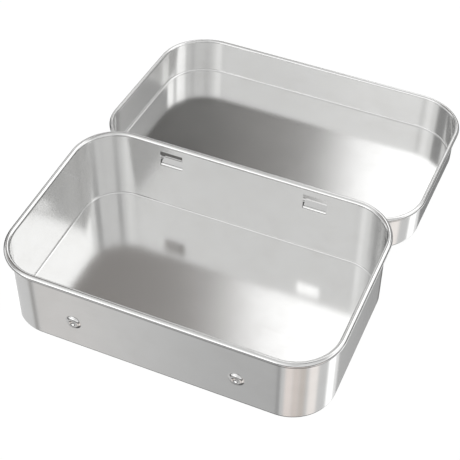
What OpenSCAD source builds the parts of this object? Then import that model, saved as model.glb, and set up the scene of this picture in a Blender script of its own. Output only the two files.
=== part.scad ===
// Hinged pocket tin of bare tinplate: a deep tray and a shallower lid, both with rolled rims.
// Two strips lanced from the back wall of the tray curl round the rolled rim of the lid and
// make the hinge. The lid is drawn folded right back, with its far edge down on the table.
// The origin is the middle of the underside of the tray, the front is towards -Y.

/* [Sheet and rims] */
// Thickness of the sheet
sheet_t = 0.25; // [0.2:0.01:0.3]
// Outer radius of the rolled rim of the tray
rim_r = 0.9; // [0.85:0.01:0.95]
// Outer radius of the rolled rim of the lid, which is the hinge pin
curl_r = 0.7; // [0.6:0.01:0.75]
// Turn of the rolled rims, in degrees from the wall
curl_turn = 285; // [250:5:290]
// Outer radius of the bend between floor and walls
foot_r = 0.8; // [0.5:0.1:2]

/* [Tray] */
// Length over the walls
base_l = 94.2; // [80:0.1:120]
// Width over the walls
base_w = 59.7; // [50:0.1:80]
// Height to the top of the rim
base_h = 24.3; // [20:0.1:30]
// Radius of the corners over the walls
corner_r = 12.6; // [6:0.1:18]

/* [Lid] */
// Space between the rim of the tray and the top of the closed lid
head_gap = 2.95; // [0.5:0.05:6]
// Space between the two rims at the ends of the closed tin
side_gap = 0.4; // [0.2:0.05:1]
// Space between the rim of the tray and the back wall of the closed lid
back_gap = 0.15; // [0.12:0.01:0.2]
// Space that the front wall of the lid keeps from the rim of the tray as it swings past
swing_gap = 0.12; // [0.1:0.01:0.5]
// Space between the table and the far edge of the lid folded back
table_gap = 0.05; // [0.02:0.01:0.2]

/* [Hinge] */
// Depth of the hinge axis below the top of the rim of the tray
hinge_drop = 8.1; // [7.8:0.1:10]
// Depth of the root of a tab below the hinge axis
root_drop = 0.3; // [0.1:0.05:0.5]
// Distance between the middles of the two tabs
tab_spacing = 45; // [30:1:55]
// Width of a tab
tab_w = 7; // [5:0.1:9]
// Length of a tab along the strip, which is the height of the window it leaves
tab_l = 5.6; // [5.4:0.05:5.8]
// Inside radius of the bend at the root of a tab
tab_bend_r = 0.6; // [0.55:0.01:0.65]
// Space between a tab and each side of its window
tab_side_gap = 0.1; // [0.05:0.01:0.3]
// Running clearance between the rolled rim of the lid and the loop of a tab
pin_gap = 0.05; // [0.03:0.01:0.08]
// Space between a tab and each end of its slot in the lid
slot_end_gap = 0.4; // [0.2:0.05:1]
// Space between the loop of a tab and the far edge of its slot
slot_top_gap = 0.3; // [0.2:0.05:0.6]

/* [Dimples] */
// Distance between the two dimples of the front wall
dimple_spacing = 47.5; // [20:0.5:60]
// Height of their middles above the table
dimple_z = 9.8; // [6:0.1:14]
// Radius over the foot of a dimple
dimple_r = 2.35; // [2.1:0.05:3]
// Height of the raised ring over the wall
dimple_h = 0.62; // [0.5:0.01:0.7]
// Height of the middle of the dish over the wall
dish_h = 0.15; // [0:0.01:0.25]
// Outer radius of the crest of the ring
crest_r = 0.85; // [0.75:0.01:0.95]
// Radius of the fillet at the foot of the ring
dimple_fillet_r = 0.4; // [0.3:0.01:0.5]

/* [Hidden] */

sheet_color = [0.74, 0.74, 0.73];

// Facets of the corners, the rolls and the dimples
corner_steps = 48;
roll_steps = 16;
dimple_steps = 24;
arc_steps = 5;
sector_step = 45;
sector_reach_share = 1.5;
// Overrun of a cut, and half of the strip by which two stretches of one sheet overlap
cut_over = 0.1;
seam_over = 0.2;

rim_mid = rim_r - sheet_t;
curl_mid = curl_r - sheet_t;
bead_out = rim_mid + rim_r;

hinge_y = base_w / 2 + bead_out + back_gap + curl_r;
hinge_z = base_h - hinge_drop;

// The front wall of the lid passes the point of the tray's rim that lies farthest from the axis
bead_reach = norm([hinge_y + base_w / 2 + rim_mid, hinge_drop - rim_r]) + rim_r;
lid_l = base_l + 2 * (bead_out + side_gap + sheet_t);
lid_w = bead_reach + swing_gap - curl_r + 2 * sheet_t;
lid_h = hinge_drop + head_gap + sheet_t + curl_r;
lid_corner_r = corner_r + bead_out + side_gap + sheet_t;

// Folded right back, the lid leans until the bend of its far edge reaches the table
far_y = lid_w - foot_r + curl_mid;
far_z = lid_h - foot_r - curl_r;
lid_lean = asin((hinge_z - foot_r - table_gap) / norm([far_y, far_z])) - atan2(far_z, far_y);

// A tab leaves the wall in a bend, runs straight and then loops round the hinge axis
loop_in = curl_r + pin_gap;
loop_out = loop_in + sheet_t;
loop_mid = loop_in + sheet_t / 2;
root_z = hinge_z - root_drop;
axis_from_bend = [hinge_y - base_w / 2 - tab_bend_r, root_drop];
arm_l = sqrt(pow(norm(axis_from_bend), 2) - pow(loop_in - tab_bend_r, 2));
arm_slope = atan2(axis_from_bend[1], axis_from_bend[0]);
arm_rise = arm_slope + asin((loop_in - tab_bend_r) / norm(axis_from_bend));
bend_l = (90 - arm_rise) * PI / 180 * (tab_bend_r + sheet_t / 2);
loop_turn = (tab_l - bend_l - arm_l) / loop_mid * 180 / PI;
window_w = tab_w + 2 * tab_side_gap;

// The ring of a dimple runs tangent into the fillet outside it and the dish inside it
crest_y = dimple_h - crest_r;
foot_rise = dimple_fillet_r - crest_y;
foot_span = sqrt(pow(crest_r + dimple_fillet_r, 2) - pow(foot_rise, 2));
crest_x = dimple_r - foot_span;
dish_rise = dish_h - crest_y;
dish_r = (pow(crest_x, 2) + pow(dish_rise, 2) - pow(crest_r, 2)) / (2 * (crest_r - dish_rise));
foot_angle = atan2(foot_rise, foot_span);
dish_angle = atan2(dish_rise + dish_r, crest_x);

// Wedge from the origin between two angles, in steps that keep its edge outside radius r
module sector(r, from, to) {
    steps = ceil((to - from) / sector_step);
    rim = [for (i = [0 : steps]) from + (to - from) * i / steps];
    polygon(concat([[0, 0]], [for (a = rim) sector_reach_share * r * [cos(a), sin(a)]]));
}

// Bent sheet seen edge on: a band round the origin between two angles
module arc_band(r_in, r_out, from, to) {
    intersection() {
        difference() {
            circle(r = r_out, $fn = roll_steps);
            circle(r = r_in, $fn = roll_steps);
        }
        sector(r_out, from, to);
    }
}

// Section of a wall of height h whose rim is rolled to radius roll_r: x is measured outward from
// its outer face, y up from the underside
module wall_section(h, roll_r) {
    translate([-foot_r - 2 * seam_over, 0]) square([2 * seam_over, sheet_t]);
    translate([-foot_r, foot_r]) arc_band(foot_r - sheet_t, foot_r, 270, 360);
    translate([-sheet_t, foot_r]) square([sheet_t, h - roll_r - foot_r]);
    translate([roll_r - sheet_t, h - roll_r]) arc_band(roll_r - sheet_t, roll_r, 180 - curl_turn, 180);
}

// Floor inside the bend of the walls, with its edge under the flat strip that each wall section has
module floor_plate(l, w, r) {
    inset = foot_r + seam_over;
    linear_extrude(sheet_t) {
        square([l - 2 * inset, w - 2 * r], center = true);
        square([l - 2 * r, w - 2 * inset], center = true);
        for (x = [-1, 1], y = [-1, 1])
            translate([x * (l / 2 - r), y * (w / 2 - r)]) circle(r = r - inset, $fn = corner_steps);
    }
}

// Two facing walls, at a distance d from each other and of the given length
module wall_pair(d, length, h, roll_r) {
    for (turn = [0, 180])
        rotate([0, 0, turn])
            translate([d / 2, 0, 0])
                rotate([90, 0, 0]) linear_extrude(length, center = true) wall_section(h, roll_r);
}

// Drawn tray with square walls, rounded corners and a rolled rim
module tray(l, w, h, r, roll_r) {
    floor_plate(l, w, r);
    wall_pair(l, w - 2 * r, h, roll_r);
    rotate([0, 0, 90]) wall_pair(w, l - 2 * r, h, roll_r);
    for (corner = [[1, 1, 0], [-1, 1, 90], [-1, -1, 180], [1, -1, 270]])
        translate([corner[0] * (l / 2 - r), corner[1] * (w / 2 - r), 0])
            rotate([0, 0, corner[2]])
                rotate_extrude(angle = 90, $fn = corner_steps) translate([r, 0]) wall_section(h, roll_r);
}

// Window that a tab leaves in the back wall of the tray
module tab_window() {
    translate([-window_w / 2, -sheet_t - cut_over, 0]) cube([window_w, sheet_t + 2 * cut_over, tab_l]);
}

// Tab that rises out of the back wall, from the lower edge of its window, and loops round the axis
module hinge_tab() {
    rotate([90, 0, 90]) linear_extrude(tab_w, center = true) {
        translate([-sheet_t, -seam_over]) square([sheet_t, seam_over]);
        translate([tab_bend_r, 0]) {
            arc_band(tab_bend_r, tab_bend_r + sheet_t, 90 + arm_rise, 180);
            rotate(arm_rise) translate([0, tab_bend_r]) {
                square([arm_l, sheet_t]);
                for (x = [0, arm_l]) translate([x, sheet_t / 2]) circle(d = sheet_t / 2, $fn = roll_steps);
            }
            translate(axis_from_bend) arc_band(loop_in, loop_out, 90 + arm_rise - loop_turn, 90 + arm_rise);
        }
    }
}

// Hole in the front wall that a dimple fills, along Z from the outer face of the wall
module dimple_hole() {
    translate([0, 0, -sheet_t - cut_over])
        cylinder(r = dimple_r + seam_over, h = sheet_t + 2 * cut_over, $fn = dimple_steps);
}

// Points along an arc, from its second point on
function arc_points(centre, r, from, to) =
    [for (i = [1 : arc_steps]) let (a = from + (to - from) * i / arc_steps) centre + r * [cos(a), sin(a)]];

// Face of a dimple at a depth below the outer face of the sheet, from the wall in to the axis
function dimple_face(depth) = concat(
    [[dimple_r + 2 * seam_over, -depth], [dimple_r, -depth]],
    arc_points([dimple_r, dimple_fillet_r], dimple_fillet_r + depth, 270, 180 + foot_angle),
    arc_points([crest_x, crest_y], crest_r - depth, foot_angle, 180 - dish_angle),
    arc_points([0, dish_h + dish_r], dish_r + depth, -dish_angle, -90)
);

// Pressed dimple: a raised ring round a dished middle, in sheet of one thickness
module dimple() {
    inner = dimple_face(sheet_t);
    last = len(inner) - 1;
    back = [for (i = [0 : last]) inner[last - i]];
    rotate_extrude($fn = dimple_steps) polygon(concat(dimple_face(0), back));
}

// Places of the two dimples, with Z outward from the front wall
module at_dimples() {
    for (x = [-1, 1])
        translate([x * dimple_spacing / 2, -base_w / 2, dimple_z]) rotate([90, 0, 0]) children();
}

// Places of the two tabs, at the root of each on the outer face of the back wall
module at_tabs() {
    for (x = [-1, 1]) translate([x * tab_spacing / 2, base_w / 2, root_z]) children();
}

// Deep tray, with the tabs and the dimples pressed out of its walls
module base_tray() {
    color(sheet_color) {
        difference() {
            tray(base_l, base_w, base_h, corner_r, rim_r);
            at_tabs() tab_window();
            at_dimples() dimple_hole();
        }
        at_tabs() hinge_tab();
        at_dimples() dimple();
    }
}

// Slot in the back wall of the lid that lets the loop of a tab round the rolled rim
module loop_slot() {
    slot_w = tab_w + 2 * slot_end_gap;
    translate([-slot_w / 2, -cut_over, -loop_out - slot_top_gap])
        cube([slot_w, sheet_t + 2 * cut_over, loop_out + slot_top_gap]);
}

// Shallow tray that lies open behind the base, its rolled rim in the loops of the tabs
module lid() {
    color(sheet_color)
        translate([0, hinge_y, hinge_z]) rotate([-lid_lean, 0, 0])
            translate([0, lid_w / 2 + curl_mid, curl_r - lid_h]) difference() {
                tray(lid_l, lid_w, lid_h, lid_corner_r, curl_r);
                for (x = [-1, 1]) translate([x * tab_spacing / 2, -lid_w / 2, lid_h - curl_r]) loop_slot();
            }
}

base_tray();
lid();
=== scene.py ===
"""Studio picture of a hinged pocket tin of bare tinplate, its lid folded right back.

Each tray is one sheet: Geometry Nodes sweep its section round a rounded rectangle, its floor is
closed, and then its windows, slots, dimples and hinge tabs are worked into the same sheet. Sizes
are in millimetres until a finished piece is put in place.
"""

import logging
import math
from dataclasses import dataclass
from enum import Enum
from typing import Any, Iterable

import bmesh
import bpy
from mathutils import Matrix, Vector

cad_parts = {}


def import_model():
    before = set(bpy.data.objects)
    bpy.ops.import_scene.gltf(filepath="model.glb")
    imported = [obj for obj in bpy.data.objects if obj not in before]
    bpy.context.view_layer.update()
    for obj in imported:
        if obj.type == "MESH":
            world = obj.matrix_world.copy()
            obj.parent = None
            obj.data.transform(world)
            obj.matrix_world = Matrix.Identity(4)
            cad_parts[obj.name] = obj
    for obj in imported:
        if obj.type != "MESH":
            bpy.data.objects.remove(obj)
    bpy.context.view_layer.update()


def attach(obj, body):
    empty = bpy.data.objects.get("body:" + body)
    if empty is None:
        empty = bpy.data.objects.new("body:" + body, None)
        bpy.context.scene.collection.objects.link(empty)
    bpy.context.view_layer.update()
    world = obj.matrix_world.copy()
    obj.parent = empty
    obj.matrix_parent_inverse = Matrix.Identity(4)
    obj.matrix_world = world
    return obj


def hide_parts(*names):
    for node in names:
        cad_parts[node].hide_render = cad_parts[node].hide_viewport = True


LOG = logging.getLogger("hinged_tin")
MM = 0.001
SHARP_ANGLE = math.radians(38.0)

# How near a point lies to a face or an edge that it counts as on it, and how far a face stands
# off a wall before it counts as pressed out of it
ON_FACE = 0.002
ON_EDGE = 0.01
OFF_WALL = 0.02
# Room round an opening in which the faces of its wall are cut
CUT_MARGIN = 3.0

Point = tuple[float, float]
Span = tuple[float, float]
Colour = tuple[float, float, float]
Skins = tuple[bmesh.types.BMVert, bmesh.types.BMVert]
WHITE = (1.0, 1.0, 1.0, 1.0)


# -------------------------------------------------------------------------------------------------
# Node trees
# -------------------------------------------------------------------------------------------------


class Wire:
    """One output socket of a tree, on which Python's operators add Math nodes."""

    def __init__(self, bench: "NodeBench", socket: bpy.types.NodeSocket) -> None:
        """Keep the socket and the bench that owns its tree."""
        self.bench = bench
        self.socket = socket

    def __add__(self, other: Any) -> "Wire":
        """Sum of two values."""
        return self.bench.maths("ADD", self, other)

    def __radd__(self, other: Any) -> "Wire":
        """Sum of a number and a value."""
        return self.bench.maths("ADD", other, self)

    def __sub__(self, other: Any) -> "Wire":
        """Difference of two values."""
        return self.bench.maths("SUBTRACT", self, other)

    def __rsub__(self, other: Any) -> "Wire":
        """Difference of a number and a value."""
        return self.bench.maths("SUBTRACT", other, self)

    def __mul__(self, other: Any) -> "Wire":
        """Product of two values."""
        return self.bench.maths("MULTIPLY", self, other)

    def __rmul__(self, other: Any) -> "Wire":
        """Product of a number and a value."""
        return self.bench.maths("MULTIPLY", other, self)

    def __truediv__(self, other: Any) -> "Wire":
        """Quotient of two values."""
        return self.bench.maths("DIVIDE", self, other)


@dataclass(frozen=True)
class Noise:
    """One noise: how fine it is and what its smaller layers add."""

    per_m: float
    detail: float
    roughness: float


class NodeBench:
    """Adds nodes to one tree, each from its type, its settings and the values of its sockets."""

    def __init__(self, tree: bpy.types.NodeTree) -> None:
        """Start on a tree, emptied first."""
        self.tree = tree
        tree.nodes.clear()

    def add(self, kind: str, settings: dict[str, Any] | None = None,
            sockets: dict[int | str, Any] | None = None) -> bpy.types.Node:
        """Add one node.

        Args:
            kind: The node's type name.
            settings: Properties of the node, set before its sockets.
            sockets: A value, a socket or a Wire for each input, by name or number.

        Returns:
            The new node.
        """
        node = self.tree.nodes.new(kind)
        for name, value in (settings or {}).items():
            setattr(node, name, value)
        for key, value in (sockets or {}).items():
            if isinstance(value, Wire):
                value = value.socket
            if isinstance(value, bpy.types.NodeSocket):
                self.tree.links.new(value, node.inputs[key])
            else:
                node.inputs[key].default_value = value
        return node

    def wire(self, node: bpy.types.Node, output: int | str = 0) -> Wire:
        """Wrap one output of a node."""
        return Wire(self, node.outputs[output])

    def maths(self, operation: str, *values: Any) -> Wire:
        """Math node of one operation on the given values."""
        node = self.add("ShaderNodeMath", {"operation": operation}, dict(enumerate(values)))
        return self.wire(node)

    def clamp(self, value: Wire, low: float, high: float) -> Wire:
        """Value kept between two bounds."""
        return self.maths("MINIMUM", self.maths("MAXIMUM", value, low), high)

    def fade(self, value: Wire, edge: float, soft: float) -> Wire:
        """Soft step from 1 below an edge to 0 above it.

        Args:
            value: The value that crosses the edge.
            edge: Middle of the step.
            soft: Half of its width.

        Returns:
            The step.
        """
        node = self.add("ShaderNodeMapRange", {"interpolation_type": "SMOOTHSTEP"},
                        {0: value, 1: edge - soft, 2: edge + soft, 3: 1.0, 4: 0.0})
        return self.wire(node)

    def noise(self, place: bpy.types.NodeSocket, noise: Noise) -> Wire:
        """Noise over a place.

        Args:
            place: The coordinates.
            noise: Its settings.

        Returns:
            The noise, about 0.5.
        """
        node = self.add("ShaderNodeTexNoise", None,
                        {0: place, "Scale": noise.per_m, "Detail": noise.detail,
                         "Roughness": noise.roughness})
        return self.wire(node)

    def blend_colour(self, share: Wire, first: Any, second: Any) -> Wire:
        """Mix of two colours.

        Args:
            share: Share of the second colour.
            first: Colour or Wire where the share is 0.
            second: Colour or Wire where the share is 1.

        Returns:
            The mixed colour.
        """
        node = self.add("ShaderNodeMix", {"data_type": "RGBA", "clamp_result": False},
                        {0: share, 6: first, 7: second})
        return self.wire(node, 2)


# -------------------------------------------------------------------------------------------------
# Finish
# -------------------------------------------------------------------------------------------------


@dataclass(frozen=True)
class TinplateFinish:
    """Bare bright tinplate: grain along the sheet, faint waves and a slightly uneven polish."""

    name: str
    roughness: float
    roughness_spread: float
    colour: Colour = (0.80, 0.80, 0.795)
    dull_colour: Colour = (0.755, 0.75, 0.74)
    grain: Noise = Noise(9000.0, 3.0, 0.6)
    grain_stretch: float = 0.02
    grain_height: float = 0.000002
    grain_strength: float = 0.5
    wave: Noise = Noise(45.0, 1.0, 0.4)
    wave_height: float = 0.00002
    bloom: Noise = Noise(140.0, 5.0, 0.62)
    bloom_start: float = 0.42
    bloom_gain: float = 1.6
    grain_share: float = 0.5

    def make(self) -> bpy.types.Material:
        """Build the material.

        Returns:
            The node material of this finish.
        """
        material = bpy.data.materials.new(self.name)
        material.use_nodes = True
        bench = NodeBench(material.node_tree)
        place = bench.add("ShaderNodeTexCoord").outputs["Object"]
        along = bench.add("ShaderNodeMapping", {"vector_type": "POINT"},
                          {0: place, "Scale": (self.grain_stretch, 1.0, 1.0)}).outputs[0]
        grain = bench.noise(along, self.grain)
        wave = bench.noise(place, self.wave)
        bloom = bench.noise(place, self.bloom)

        uneven = grain - 0.5
        dull = (bloom - self.bloom_start) * self.bloom_gain + uneven * self.grain_share
        dull = bench.clamp(dull, 0.0, 1.0)
        colour = bench.blend_colour(dull, (*self.colour, 1.0), (*self.dull_colour, 1.0))
        rough = dull * self.roughness_spread + uneven * self.roughness_spread + self.roughness

        waves = bench.add("ShaderNodeBump", None,
                          {"Strength": 1.0, "Distance": self.wave_height, "Height": wave})
        lines = bench.add("ShaderNodeBump", None,
                          {"Strength": self.grain_strength, "Distance": self.grain_height,
                           "Height": grain, "Normal": waves.outputs[0]})
        shader = bench.add("ShaderNodeBsdfPrincipled", None,
                           {"Base Color": colour, "Metallic": 1.0, "Roughness": rough,
                            "Normal": lines.outputs[0]})
        bench.add("ShaderNodeOutputMaterial", None, {0: shader.outputs[0]})
        return material


# -------------------------------------------------------------------------------------------------
# Sheet metal
# -------------------------------------------------------------------------------------------------


class Polish(Enum):
    """How bright a part of the sheet is, as its roughness and the spread of that."""

    DRAWN_WALL = (0.15, 0.03)
    ROLLED_EDGE = (0.08, 0.03)

    def finish(self, name: str) -> TinplateFinish:
        """Finish of a named tray with this polish."""
        return TinplateFinish(f"tinplate_{name}_{self.name.lower()}", *self.value)


class Side(Enum):
    """The two long walls of a tray, by the sign of Y."""

    FRONT = -1
    BACK = 1


def arc(centre: Point, radius: float, start: float, end: float, steps: int) -> list[Point]:
    """Points along an arc.

    Args:
        centre: Middle of the arc.
        radius: Its radius.
        start: First angle, in degrees.
        end: Last angle, in degrees.
        steps: Number of chords.

    Returns:
        The points, both ends among them.
    """
    angles = [math.radians(start + (end - start) * i / steps) for i in range(steps + 1)]
    return [(centre[0] + radius * math.cos(a), centre[1] + radius * math.sin(a)) for a in angles]


def either_side(spacing: float) -> tuple[float, float]:
    """Places of two alike features, left and right of the middle."""
    return (-spacing / 2, spacing / 2)


@dataclass(frozen=True)
class RimmedSection:
    """Section of the sheet from the floor over the foot bend and up to the rolled rim."""

    sheet: float = 0.25
    curl_r: float = 0.7
    curl_turn: float = 285.0
    foot_r: float = 0.8
    floor_strip: float = 1.2
    wall_step: float = 1.2
    fewest_rows: int = 2
    support: float = 0.12
    foot_steps: int = 8
    curl_inner_steps: int = 26
    curl_outer_steps: int = 38

    @property
    def curl_mid(self) -> float:
        """Distance of the middle of the roll from the outer face of the wall."""
        return self.curl_r - self.sheet

    def wall_levels(self, height: float) -> list[float]:
        """Heights of the rows of the wall above the foot bend, below the roll.

        Args:
            height: Height of the tray over its rim.

        Returns:
            The heights, lowest first.
        """
        low = self.foot_r + self.support
        high = height - self.curl_r - self.support
        rows = max(self.fewest_rows, round((high - low) / self.wall_step))
        return [low + (high - low) * i / rows for i in range(rows + 1)]

    def outline(self, height: float) -> list[Point]:
        """Points of the section, from the underside round the rim to the floor.

        Args:
            height: Height of the tray over its rim.

        Returns:
            Outward distance from the wall and height of each point of the open line.
        """
        t, foot = self.sheet, (-self.foot_r, self.foot_r)
        roll, end = (self.curl_mid, height - self.curl_r), 180.0 - self.curl_turn
        levels = self.wall_levels(height)
        strip, edge = -self.foot_r - self.floor_strip, -self.foot_r - self.support
        points = [(strip, 0.0), (edge, 0.0)]
        points += arc(foot, self.foot_r, 270, 360, self.foot_steps)
        points += [(0.0, z) for z in levels]
        points += arc(roll, self.curl_r - t, 180, end, self.curl_inner_steps)
        points += arc(roll, self.curl_r, end, 180, self.curl_outer_steps)
        points += [(-t, z) for z in reversed(levels)]
        points += arc(foot, self.foot_r - t, 360, 270, self.foot_steps)
        return points + [(edge, t), (strip, t)]


class SheetSweep:
    """Geometry Nodes tree that sweeps a section round a rectangle with rounded corners."""

    INPUTS = (("Section", "NodeSocketGeometry"), ("Length", "NodeSocketFloat"),
              ("Width", "NodeSocketFloat"), ("Corner Radius", "NodeSocketFloat"),
              ("Corner Steps", "NodeSocketInt"), ("Wall Step", "NodeSocketFloat"),
              ("Finish", "NodeSocketMaterial"))

    def __init__(self, name: str = "Sheet Sweep") -> None:
        """Build the tree.

        Args:
            name: Name of the tree.
        """
        self.tree = bpy.data.node_groups.new(name, "GeometryNodeTree")
        face = self.tree.interface
        for label, kind in self.INPUTS:
            face.new_socket(name=label, in_out="INPUT", socket_type=kind)
        face.new_socket(name="Sheet", in_out="OUTPUT", socket_type="NodeSocketGeometry")
        bench = NodeBench(self.tree)
        given = bench.add("NodeGroupInput").outputs

        frame = bench.add("GeometryNodeCurvePrimitiveQuadrilateral", {"mode": "RECTANGLE"},
                          {"Width": given["Length"], "Height": given["Width"]})
        rounded = bench.add("GeometryNodeFilletCurve", {"mode": "POLY"},
                            {"Curve": frame.outputs[0], "Count": given["Corner Steps"],
                             "Radius": given["Corner Radius"]})

        # The straight walls get rows of their own, which keeps them flat beside the corners
        here = bench.add("GeometryNodeInputPosition").outputs[0]
        after = bench.add("GeometryNodeOffsetPointInCurve", None, {"Offset": 1})
        there = bench.add("GeometryNodeFieldAtIndex",
                          {"data_type": "FLOAT_VECTOR", "domain": "POINT"},
                          {"Value": here, "Index": after.outputs["Point Index"]})
        gap = bench.add("ShaderNodeVectorMath", {"operation": "DISTANCE"},
                        {0: here, 1: there.outputs[0]})
        cuts = bench.maths("FLOOR", bench.wire(gap, "Value") / given["Wall Step"])
        path = bench.add("GeometryNodeSubdivideCurve", None,
                         {"Curve": rounded.outputs[0], "Cuts": cuts})
        upright = bench.add("GeometryNodeSetCurveNormal", {"mode": "Z_UP"},
                            {"Curve": path.outputs[0]})

        section = bench.add("GeometryNodeMeshToCurve", None, {"Mesh": given["Section"]})
        swept = bench.add("GeometryNodeCurveToMesh", None,
                          {"Curve": upright.outputs[0], "Profile Curve": section.outputs[0]})
        smooth = bench.add("GeometryNodeSetShadeSmooth", None, {"Geometry": swept.outputs[0]})
        real = bench.add("GeometryNodeRealizeInstances", None, {"Geometry": smooth.outputs[0]})
        dressed = bench.add("GeometryNodeSetMaterial", None,
                            {"Geometry": real.outputs[0], "Material": given["Finish"]})
        bench.add("NodeGroupOutput", None, {0: dressed.outputs[0]})

    def sweep(self, section: list[Point], values: dict[str, Any]) -> bpy.types.Mesh:
        """Sweep a section and return the plain mesh.

        Args:
            section: Outward distance and height of each point.
            values: A value for each named input of the tree.

        Returns:
            The evaluated mesh, with no modifier behind it.
        """
        line = bpy.data.meshes.new("section")
        # Curve to Mesh turns the second axis of a section downwards
        line.from_pydata([(out, -up, 0.0) for out, up in section],
                         [(i, i + 1) for i in range(len(section) - 1)], [])
        carrier = bpy.data.objects.new("section", line)
        bpy.context.scene.collection.objects.link(carrier)
        modifier = carrier.modifiers.new("sweep", "NODES")
        modifier.node_group = self.tree
        for item in self.tree.interface.items_tree:
            if item.in_out == "INPUT" and item.name in values:
                modifier[item.identifier] = values[item.name]
        ready = carrier.evaluated_get(bpy.context.evaluated_depsgraph_get())
        mesh = bpy.data.meshes.new_from_object(ready)
        carrier.modifiers.remove(modifier)
        bpy.data.objects.remove(carrier)
        bpy.data.meshes.remove(line)
        return mesh


@dataclass
class DrawnTray:
    """A tray drawn from one sheet, with square walls, rounded corners and a rolled rim.

    Its length and width are those over its walls, and its height is that over its rim.
    """

    name: str
    body: str
    node: str
    slot: str
    length: float
    width: float
    height: float
    corner_r: float
    section: RimmedSection = RimmedSection()
    corner_steps: int = 24
    wall_step: float = 1.15

    def build(self, sweep: SheetSweep) -> bpy.types.Object:
        """Make the tray, put it in place and dress it.

        Args:
            sweep: The tree that draws the walls.

        Returns:
            The finished piece.
        """
        materials = [polish.finish(self.body).make() for polish in Polish]
        mesh = sweep.sweep(self.section.outline(self.height), {
            "Length": self.length, "Width": self.width, "Corner Radius": self.corner_r,
            "Corner Steps": self.corner_steps, "Wall Step": self.wall_step,
            "Finish": materials[0]})
        sheet = bmesh.new()
        sheet.from_mesh(mesh)
        bpy.data.meshes.remove(mesh)
        self.close_floor(sheet)
        self.work(sheet)
        bmesh.ops.recalc_face_normals(sheet, faces=sheet.faces[:])
        for face in sheet.faces:
            face.smooth = True
            face.material_index = self.polish_of(face)
        bmesh.ops.triangulate(sheet, faces=[f for f in sheet.faces if len(f.verts) > 4],
                              quad_method="BEAUTY", ngon_method="BEAUTY")
        bmesh.ops.transform(sheet, matrix=Matrix.Scale(MM, 4) @ self.placing(),
                            verts=sheet.verts[:])
        return self.dress(sheet, materials)

    def close_floor(self, sheet: bmesh.types.BMesh) -> None:
        """Close the underside and the floor inside the swept strip."""
        edges = [e for e in sheet.edges if e.is_boundary]
        bmesh.ops.holes_fill(sheet, edges=edges, sides=0)

    def work(self, sheet: bmesh.types.BMesh) -> None:
        """Work the openings and pressings of this tray into the sheet."""

    def polish_of(self, face: bmesh.types.BMFace) -> int:
        """Number of the finish of a face: rolls and pressings shine more than the rest.

        Args:
            face: A face of the sheet, before the tray is put in place.

        Returns:
            Place of the finish among the members of Polish.
        """
        centre = face.calc_center_median()
        pressed = abs(centre.y) > self.width / 2 + OFF_WALL
        rolled = centre.z > self.height - 2 * self.section.curl_r
        return list(Polish).index(Polish.ROLLED_EDGE if pressed or rolled else Polish.DRAWN_WALL)

    def placing(self) -> Matrix:
        """Place of the tray, which is drawn upright, its underside centred on the origin."""
        return Matrix.Identity(4)

    def dress(self, sheet: bmesh.types.BMesh,
              materials: list[bpy.types.Material]) -> bpy.types.Object:
        """Turn the worked sheet into a piece that stands for its CAD node.

        Args:
            sheet: The sheet, in metres and in place. It is freed.
            materials: The finishes, by the material index of the faces.

        Returns:
            The piece.
        """
        mesh = bpy.data.meshes.new(self.name)
        sheet.to_mesh(mesh)
        sheet.free()
        mesh.materials.clear()
        for material in materials:
            mesh.materials.append(material)
        mesh.set_sharp_from_angle(angle=SHARP_ANGLE)
        piece = bpy.data.objects.new(self.name, mesh)
        bpy.context.scene.collection.objects.link(piece)
        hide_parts(self.node)
        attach(piece, self.body)
        return piece

    def skins(self, side: Side) -> tuple[float, float]:
        """Y of the outer and of the inner face of a long wall."""
        return (side.value * self.width / 2, side.value * (self.width / 2 - self.section.sheet))

    @staticmethod
    def skin_faces(sheet: bmesh.types.BMesh, y: float, x: Span,
                   z: Span) -> list[bmesh.types.BMFace]:
        """Faces of one skin of a long wall whose middles lie in a rectangle.

        Args:
            sheet: The sheet.
            y: Y of the skin.
            x: Left and right end of the rectangle.
            z: Its lower and upper edge.

        Returns:
            The faces.
        """
        found = []
        for face in sheet.faces:
            if all(abs(v.co.y - y) < ON_FACE for v in face.verts):
                centre = face.calc_center_median()
                if x[0] < centre.x < x[1] and z[0] < centre.z < z[1]:
                    found.append(face)
        return found

    def clear_patch(self, sheet: bmesh.types.BMesh, y: float, x: Span, z: Span,
                    extra_x: Iterable[float] = ()) -> None:
        """Cut a rectangle out of one skin of a long wall, along exact lines.

        Args:
            sheet: The sheet.
            y: Y of the skin.
            x: Left and right end of the rectangle.
            z: Its lower and upper edge.
            extra_x: Places along the wall at which its faces are cut too.
        """
        wide_x = (x[0] - CUT_MARGIN, x[1] + CUT_MARGIN)
        wide_z = (z[0] - CUT_MARGIN, z[1] + CUT_MARGIN)
        planes = [(Vector((a, 0, 0)), Vector((1, 0, 0))) for a in (*x, *extra_x)]
        planes += [(Vector((0, 0, a)), Vector((0, 0, 1))) for a in z]
        for place, normal in planes:
            faces = self.skin_faces(sheet, y, wide_x, wide_z)
            edges = dict.fromkeys(e for f in faces for e in f.edges)
            verts = dict.fromkeys(v for f in faces for v in f.verts)
            bmesh.ops.bisect_plane(sheet, geom=[*faces, *edges, *verts], dist=ON_FACE,
                                   plane_co=place, plane_no=normal)
        bmesh.ops.delete(sheet, geom=self.skin_faces(sheet, y, x, z), context="FACES")

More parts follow.
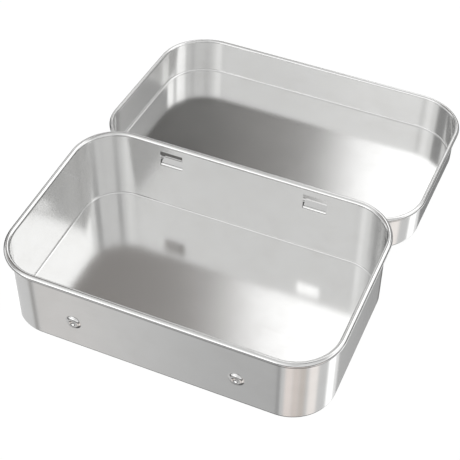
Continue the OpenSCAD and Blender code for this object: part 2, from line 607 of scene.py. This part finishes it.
    def pierce(self, sheet: bmesh.types.BMesh, side: Side, x: Span, z: Span,
               root: Span | None = None) -> list[Skins]:
        """Cut a rectangular opening through a long wall and line its edge.

        Args:
            sheet: The sheet, closed everywhere else.
            side: The wall.
            x: Its ends.
            z: Its lower and upper edge.
            root: The stretch of the lower edge that is left unlined for a tab, or None.

        Returns:
            The pairs of points, outer and inner, along that stretch, by X.
        """
        outer_y, inner_y = self.skins(side)
        for y in (outer_y, inner_y):
            self.clear_patch(sheet, y, x, z, root or ())
        rim = [e for e in sheet.edges if e.is_boundary]
        inner = {v for e in rim for v in e.verts if abs(v.co.y - inner_y) < ON_FACE}

        def across(v: bmesh.types.BMVert) -> bmesh.types.BMVert:
            """Point of the inner skin behind one of the outer skin."""
            return min(inner, key=lambda w: (w.co.x - v.co.x) ** 2 + (w.co.z - v.co.z) ** 2)

        def on_root(v: bmesh.types.BMVert) -> bool:
            """Whether a point lies on the stretch that is left unlined."""
            return (root is not None and abs(v.co.z - z[0]) < ON_EDGE
                    and root[0] - ON_EDGE < v.co.x < root[1] + ON_EDGE)

        pairs: dict[bmesh.types.BMVert, bmesh.types.BMVert] = {}
        for edge in rim:
            a, b = edge.verts
            if any(abs(v.co.y - outer_y) > ON_FACE for v in (a, b)):
                continue
            if on_root(a) and on_root(b):
                pairs.update({a: across(a), b: across(b)})
            else:
                sheet.faces.new((a, b, across(b), across(a)))
        return sorted(pairs.items(), key=lambda pair: pair[0].co.x)


@dataclass(frozen=True)
class HingeTab:
    """Strip lanced from the back wall: it bends outward, runs straight and loops round the axis."""

    spacing: float = 45.0
    width: float = 7.0
    length: float = 5.6
    bend_r: float = 0.6
    side_gap: float = 0.1
    loop_in: float = 0.75
    axis_out: float = 2.4
    axis_up: float = 0.3
    root_z: float = 15.9
    bend_steps: int = 12
    arm_shares: tuple[float, ...] = (0.08, 0.5, 0.92)
    loop_steps: int = 30

    @property
    def arm(self) -> Point:
        """Length of the straight arm, tangent to the bend and to the loop, and its rise.

        Returns:
            The length, and the rise in degrees.
        """
        reach = math.hypot(self.axis_out - self.bend_r, self.axis_up)
        drop = self.loop_in - self.bend_r
        rise = math.atan2(self.axis_up, self.axis_out - self.bend_r) + math.asin(drop / reach)
        return (math.sqrt(reach ** 2 - drop ** 2), math.degrees(rise))

    def loop_turn(self, sheet: float) -> float:
        """Turn of the loop, which takes what the bend and the arm leave of the strip.

        Args:
            sheet: Thickness of the sheet.

        Returns:
            The turn in degrees.
        """
        length, rise = self.arm
        bend = math.radians(90.0 - rise) * (self.bend_r + sheet / 2)
        return math.degrees((self.length - bend - length) / (self.loop_in + sheet / 2))

    def track(self, sheet: float) -> list[tuple[Point, Point]]:
        """Pairs of points, under and upper face, along the strip from the wall to its end.

        Args:
            sheet: Thickness of the sheet.

        Returns:
            Outward distance from the wall and height over the root, for both faces.
        """
        bend, axis = (self.bend_r, 0.0), (self.axis_out, self.axis_up)
        length, rise = self.arm
        start = 90.0 + rise
        end = start - self.loop_turn(sheet)
        faces = []
        for depth in (0.0, sheet):
            face = arc(bend, self.bend_r + depth, 180, start, self.bend_steps)
            foot = face[-1]
            for share in self.arm_shares:
                face.append((foot[0] + share * length * math.cos(math.radians(rise)),
                             foot[1] + share * length * math.sin(math.radians(rise))))
            faces.append(face + arc(axis, self.loop_in + depth, start, end, self.loop_steps))
        return list(zip(*faces))

    def grow(self, sheet: bmesh.types.BMesh, roots: list[Skins], wall_y: float,
             thickness: float) -> None:
        """Grow the strip out of the unlined lower edge of its window.

        Args:
            sheet: The sheet.
            roots: Pairs of points, outer and inner, along the edge.
            wall_y: Y of the outer face of the wall.
            thickness: Thickness of the sheet.
        """
        rows = [list(roots)]
        for under, upper in self.track(thickness)[1:]:
            rows.append([
                (sheet.verts.new((a.co.x, wall_y + under[0], self.root_z + under[1])),
                 sheet.verts.new((a.co.x, wall_y + upper[0], self.root_z + upper[1])))
                for a, _ in roots])
        for low, high in zip(rows, rows[1:]):
            for i in range(len(roots) - 1):
                sheet.faces.new((low[i][0], low[i + 1][0], high[i + 1][0], high[i][0]))
                sheet.faces.new((low[i][1], high[i][1], high[i + 1][1], low[i + 1][1]))
            for i in (0, -1):
                sheet.faces.new((low[i][0], high[i][0], high[i][1], low[i][1]))
        last = rows[-1]
        for i in range(len(roots) - 1):
            sheet.faces.new((last[i][0], last[i + 1][0], last[i + 1][1], last[i][1]))


@dataclass(frozen=True)
class Dimple:
    """Round dimple pressed out of the front wall: a raised ring about a dished middle."""

    spacing: float = 47.5
    height_up: float = 9.8
    foot_r: float = 2.35
    ring_h: float = 0.62
    dish_h: float = 0.15
    crest_r: float = 0.85
    fillet_r: float = 0.4
    flange: float = 0.2
    foot_lead: float = 0.04
    patch: float = 3.1
    spokes: int = 72
    fillet_steps: int = 7
    crest_steps: int = 14
    dish_steps: int = 7

    def profile(self, depth: float) -> list[Point]:
        """Radius and height over the wall along a face of the dimple, from its flange inwards.

        Args:
            depth: Depth of the face below the outer face of the sheet.

        Returns:
            The points, the last one on the axis.
        """
        crest_y = self.ring_h - self.crest_r
        foot_rise = self.fillet_r - crest_y
        foot_span = math.sqrt((self.crest_r + self.fillet_r) ** 2 - foot_rise ** 2)
        crest_x = self.foot_r - foot_span
        rise = self.dish_h - crest_y
        dish_r = ((crest_x ** 2 + rise ** 2 - self.crest_r ** 2)
                  / (2 * (self.crest_r - rise)))
        foot_angle = math.degrees(math.atan2(foot_rise, foot_span))
        dish_angle = math.degrees(math.atan2(rise + dish_r, crest_x))
        points = [(self.foot_r + self.flange, -depth), (self.foot_r + self.foot_lead, -depth)]
        points += arc((self.foot_r, self.fillet_r), self.fillet_r + depth,
                      270, 180 + foot_angle, self.fillet_steps)
        points += arc((crest_x, crest_y), self.crest_r - depth,
                      foot_angle, 180 - dish_angle, self.crest_steps)[1:]
        points += arc((0.0, self.dish_h + dish_r), dish_r + depth,
                      -dish_angle, -90, self.dish_steps)[1:]
        return points

    def press(self, sheet: bmesh.types.BMesh, tray: DrawnTray, x: float) -> None:
        """Press one dimple into both skins of the front wall.

        Args:
            sheet: The sheet, closed everywhere.
            tray: The tray that it belongs to.
            x: Place of the dimple along the wall.
        """
        outer_y, inner_y = tray.skins(Side.FRONT)
        wide_x = (x - self.patch, x + self.patch)
        wide_z = (self.height_up - self.patch, self.height_up + self.patch)
        for y, depth in ((outer_y, 0.0), (inner_y, tray.section.sheet)):
            tray.clear_patch(sheet, y, wide_x, wide_z)
            square = [e for e in sheet.edges if e.is_boundary]
            *circles, tip = self.profile(depth)
            rings = [self.ring(sheet, x, outer_y, r, h) for r, h in circles]
            first = [sheet.edges.new((rings[0][i - 1], rings[0][i])) for i in range(self.spokes)]
            bmesh.ops.triangle_fill(sheet, use_beauty=True, edges=[*square, *first])
            for wide, tight in zip(rings, rings[1:]):
                for i in range(self.spokes):
                    sheet.faces.new((wide[i - 1], wide[i], tight[i], tight[i - 1]))
            middle = sheet.verts.new((x, outer_y - tip[1], self.height_up))
            for i in range(self.spokes):
                sheet.faces.new((rings[-1][i - 1], rings[-1][i], middle))

    def ring(self, sheet: bmesh.types.BMesh, x: float, y: float, r: float,
             h: float) -> list[bmesh.types.BMVert]:
        """One ring of points about the axis of the dimple.

        Args:
            sheet: The sheet that the points are added to.
            x: Place of the axis along the wall.
            y: Y of the outer face of the wall.
            r: Radius of the ring.
            h: Its height over the wall.

        Returns:
            The points, one to a spoke.
        """
        turns = [2 * math.pi * i / self.spokes for i in range(self.spokes)]
        return [sheet.verts.new((x + r * math.cos(a), y - h, self.height_up + r * math.sin(a)))
                for a in turns]


@dataclass
class BaseTray(DrawnTray):
    """Deep tray, with two dimples in its front wall and two hinge tabs out of its back wall."""

    name: str = "base_tray_sheet"
    body: str = "base"
    node: str = "base_tray"
    slot: str = "tinplate_base"
    length: float = 94.2
    width: float = 59.7
    height: float = 24.3
    corner_r: float = 12.6
    section: RimmedSection = RimmedSection(curl_r=0.9)
    tab: HingeTab = HingeTab()
    dimple: Dimple = Dimple()

    def work(self, sheet: bmesh.types.BMesh) -> None:
        """Lance the tabs and press the dimples.

        Args:
            sheet: The closed sheet.
        """
        outer_y, _ = self.skins(Side.BACK)
        half = self.tab.width / 2
        window = half + self.tab.side_gap
        levels = (self.tab.root_z, self.tab.root_z + self.tab.length)
        for x in either_side(self.tab.spacing):
            roots = self.pierce(sheet, Side.BACK, (x - window, x + window), levels,
                                (x - half, x + half))
            self.tab.grow(sheet, roots, outer_y, self.section.sheet)
        for x in either_side(self.dimple.spacing):
            self.dimple.press(sheet, self, x)


@dataclass
class Lid(DrawnTray):
    """Shallow tray, open behind the base, whose rolled rim runs in the loops of the tabs."""

    name: str = "lid_sheet"
    body: str = "lid"
    node: str = "lid"
    slot: str = "tinplate_lid"
    length: float = 98.6
    width: float = 63.9817
    height: float = 12.0
    corner_r: float = 14.8
    section: RimmedSection = RimmedSection(curl_r=0.7)
    slot_spacing: float = 45.0
    slot_width: float = 7.8
    slot_depth: float = 1.3
    hinge: Point = (32.25, 16.2)
    lean: float = 4.39925

    def work(self, sheet: bmesh.types.BMesh) -> None:
        """Cut the slots that let the loops round the rim.

        Args:
            sheet: The closed sheet.
        """
        half, top = self.slot_width / 2, self.height - self.section.curl_r
        for x in either_side(self.slot_spacing):
            self.pierce(sheet, Side.FRONT, (x - half, x + half), (top - self.slot_depth, top))

    def placing(self) -> Matrix:
        """Place of the lid, which leans back from the hinge axis to the table.

        Returns:
            The move from the upright lid at the origin.
        """
        hinge = Matrix.Translation((0.0, *self.hinge))
        lean = Matrix.Rotation(math.radians(-self.lean), 4, "X")
        reach = self.width / 2 + self.section.curl_mid
        return hinge @ lean @ Matrix.Translation((0.0, reach, self.section.curl_r - self.height))


# -------------------------------------------------------------------------------------------------
# Studio
# -------------------------------------------------------------------------------------------------


@dataclass(frozen=True)
class Softbox:
    """A soft patch of the surroundings, by its bearing from +Y towards +X and its elevation.

    Its bearing, elevation, half sizes and softness are in degrees.
    """

    bearing: float
    elevation: float
    half_width: float
    half_height: float
    level: float
    softness: float
    tint: Colour = (1.0, 1.0, 1.0)

    @property
    def colour(self) -> tuple[float, float, float, float]:
        """Colour of the patch at its level."""
        return (*(self.level * share for share in self.tint), 1.0)


@dataclass
class StudioWorld:
    """Plain white surroundings with soft patches, seen by the metal and not by the camera."""

    patches: tuple[Softbox, ...] = ()

    def build(self) -> None:
        """Build the world and make it the scene's."""
        world = bpy.data.worlds.new("studio")
        world.use_nodes = True
        bench = NodeBench(world.node_tree)
        view = bench.add("ShaderNodeTexCoord").outputs["Generated"]
        split = bench.add("ShaderNodeSeparateXYZ", None, {0: view})
        x, y, z = (bench.wire(split, i) for i in range(3))
        bearing = bench.maths("ARCTAN2", x, y) * math.degrees(1)
        elevation = bench.maths("ARCSINE", bench.clamp(z, -1.0, 1.0)) * math.degrees(1)
        colour: Any = WHITE
        for patch in self.patches:
            turned = bench.maths("WRAP", bearing - patch.bearing, 180.0, -180.0)
            across = bench.maths("ABSOLUTE", turned)
            up = bench.maths("ABSOLUTE", elevation - patch.elevation)
            mask = (bench.fade(across, patch.half_width, patch.softness)
                    * bench.fade(up, patch.half_height, patch.softness))
            colour = bench.blend_colour(mask, colour, patch.colour)
        seen = bench.wire(bench.add("ShaderNodeLightPath"), "Is Camera Ray")
        colour = bench.blend_colour(seen, colour, WHITE)
        light = bench.add("ShaderNodeBackground", None, {"Color": colour, "Strength": 1.0})
        bench.add("ShaderNodeOutputWorld", None, {0: light.outputs[0]})
        bpy.context.scene.world = world


@dataclass
class Floor:
    """Plain white floor that keeps the object's shadow."""

    reach: float = 3.0
    colour: Colour = (0.92, 0.92, 0.92)
    white_share: float = 0.95
    white_level: float = 1.03

    def build(self) -> None:
        """Build the floor."""
        mesh = bpy.data.meshes.new("floor")
        r = self.reach
        mesh.from_pydata([(-r, -r, 0), (r, -r, 0), (r, r, 0), (-r, r, 0)], [], [(0, 1, 2, 3)])
        material = bpy.data.materials.new("white floor")
        material.use_nodes = True
        bench = NodeBench(material.node_tree)
        matt = bench.add("ShaderNodeBsdfDiffuse", None, {"Color": (*self.colour, 1.0)})
        white = bench.add("ShaderNodeEmission", None,
                          {"Color": WHITE, "Strength": self.white_level})
        seen = bench.wire(bench.add("ShaderNodeLightPath"), "Is Camera Ray") * self.white_share
        mixed = bench.add("ShaderNodeMixShader", None,
                          {0: seen, 1: matt.outputs[0], 2: white.outputs[0]})
        bench.add("ShaderNodeOutputMaterial", None, {0: mixed.outputs[0]})
        mesh.materials.append(material)
        floor = bpy.data.objects.new("floor", mesh)
        bpy.context.scene.collection.objects.link(floor)
        floor.visible_glossy = False


@dataclass
class StudioCamera:
    """Camera at the photograph's viewing angle, from a fit of the tin's outlines."""

    azimuth: float = 22.94
    elevation: float = 45.88
    distance: float = 0.3504
    target: tuple[float, float, float] = (0.00115, 0.01855, 0.010)
    roll: float = 0.57
    lens: float = 95.09
    sensor: float = 36.0
    clip: Span = (0.01, 20.0)

    def build(self) -> None:
        """Build the camera and make it the scene's."""
        data = bpy.data.cameras.new("camera")
        data.sensor_width = self.sensor
        data.lens = self.lens
        data.clip_start, data.clip_end = self.clip
        camera = bpy.data.objects.new("camera", data)
        a, e = math.radians(self.azimuth), math.radians(self.elevation)
        back = Vector((math.sin(a) * math.cos(e), -math.cos(a) * math.cos(e), math.sin(e)))
        camera.location = Vector(self.target) + back * self.distance
        camera.rotation_mode = "QUATERNION"
        turn = Matrix.Rotation(math.radians(self.roll), 3, "Z").to_quaternion()
        camera.rotation_quaternion = (-back).to_track_quat("-Z", "Y") @ turn
        bpy.context.scene.collection.objects.link(camera)
        bpy.context.scene.camera = camera


# Each patch lies over those before it
SURROUNDINGS = (
    # the table, seen by the walls: streaks from the things that stand on it
    Softbox(0.0, -50.0, 200.0, 46.0, 0.67, 4.0),
    Softbox(-168.0, -48.0, 5.0, 22.0, 0.36, 4.0),
    Softbox(-158.0, -48.0, 6.0, 22.0, 0.52, 5.0),
    Softbox(-144.0, -48.0, 3.0, 22.0, 0.75, 3.0, (1.0, 0.97, 0.95)),
    Softbox(-131.0, -48.0, 6.0, 22.0, 0.40, 4.0, (1.0, 0.98, 0.96)),
    Softbox(-50.0, -48.0, 13.0, 26.0, 1.40, 4.0),
    Softbox(-22.0, -48.0, 14.0, 26.0, 0.85, 4.0),
    Softbox(3.0, -48.0, 7.0, 26.0, 0.16, 4.0),
    Softbox(15.0, -48.0, 5.0, 26.0, 0.50, 3.0),
    Softbox(6.0, -44.0, 6.0, 14.0, 0.12, 2.0),
    Softbox(28.0, -48.0, 8.0, 26.0, 0.85, 4.0),
    Softbox(51.0, -48.0, 14.0, 26.0, 1.40, 3.0),
    Softbox(107.0, -48.0, 12.0, 26.0, 1.04, 5.0, (1.0, 0.95, 0.92)),
    Softbox(134.0, -48.0, 8.0, 26.0, 0.66, 5.0, (1.0, 0.92, 0.86)),
    Softbox(150.0, -48.0, 8.0, 26.0, 0.78, 5.0, (1.0, 0.91, 0.86)),
    Softbox(167.0, -48.0, 9.0, 26.0, 0.92, 4.0, (1.0, 0.92, 0.88)),
    # the shadow under the tin, the dark line of the horizon and what stands dark on its left
    Softbox(0.0, -90.0, 200.0, 30.0, 0.12, 4.0),
    Softbox(0.0, -12.0, 200.0, 11.0, 0.10, 3.0),
    Softbox(-50.0, -12.0, 14.0, 16.0, 0.07, 3.0),
    Softbox(-64.0, 8.0, 12.0, 18.0, 0.13, 3.0),
    Softbox(-55.0, 34.0, 5.0, 8.0, 0.35, 3.0),
    # the ceiling, and the room behind the camera and to its right, seen by the back walls
    Softbox(0.0, 90.0, 200.0, 28.0, 0.70, 5.0),
    Softbox(132.0, 40.0, 40.0, 24.0, 0.83, 6.0),
    Softbox(155.0, 50.0, 6.5, 9.0, 0.52, 3.0),
    Softbox(117.0, 33.0, 6.0, 6.0, 0.66, 4.0),
    Softbox(88.0, 50.0, 9.0, 11.0, 0.44, 5.0),
    Softbox(82.0, 30.0, 14.0, 7.0, 1.60, 4.0),
    Softbox(-171.0, 37.0, 8.0, 7.0, 1.20, 4.0),
    Softbox(-140.0, 42.0, 9.0, 12.0, 1.18, 5.0),
    Softbox(-98.0, 34.0, 17.0, 11.0, 0.34, 5.0),
    Softbox(-90.0, 50.0, 9.0, 8.0, 0.50, 6.0),
    Softbox(-160.0, 48.0, 14.0, 6.0, 0.93, 3.0),
    Softbox(-158.5, 38.0, 4.0, 5.0, 0.86, 2.0),
    Softbox(-153.0, 15.0, 18.0, 17.0, 1.60, 3.0),
    # the far side of the room, dark on the left and bright on the right, seen by the floors
    Softbox(14.5, 12.0, 18.5, 27.0, 0.36, 3.0),
    Softbox(-50.0, 50.0, 28.0, 10.0, 0.265, 1.5, (1.0, 0.95, 0.91)),
    Softbox(-26.0, 35.0, 12.3, 6.5, 0.21, 1.5, (1.0, 0.97, 0.93)),
    Softbox(-29.0, 35.0, 8.5, 6.5, 0.09, 2.0, (1.0, 0.97, 0.93)),
    Softbox(-5.0, 44.0, 8.9, 17.0, 1.50, 1.5),
    Softbox(0.0, 51.0, 22.0, 9.0, 1.45, 1.5),
    # what the rolled rims see on the right and overhead
    Softbox(48.0, 4.0, 14.0, 14.0, 0.24, 3.0),
    Softbox(44.0, 33.0, 13.0, 11.0, 1.45, 3.0),
    Softbox(26.0, 77.0, 36.0, 9.0, 0.22, 3.0),
    Softbox(62.0, 33.0, 5.0, 6.0, 0.80, 3.0),
    Softbox(40.0, 51.0, 20.0, 11.0, 1.45, 3.0),
)


def main() -> None:
    """Build the scene: surroundings, camera and the two trays."""
    logging.basicConfig(level=logging.INFO, format="%(name)s: %(message)s")
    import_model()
    bpy.context.scene.view_settings.view_transform = "Standard"
    StudioWorld(SURROUNDINGS).build()
    Floor().build()
    StudioCamera().build()
    sweep = SheetSweep()
    for tray in (BaseTray(), Lid()):
        piece = tray.build(sweep)
        LOG.info("%s: %d faces", piece.name, len(piece.data.polygons))


if __name__ == "__main__":
    main()
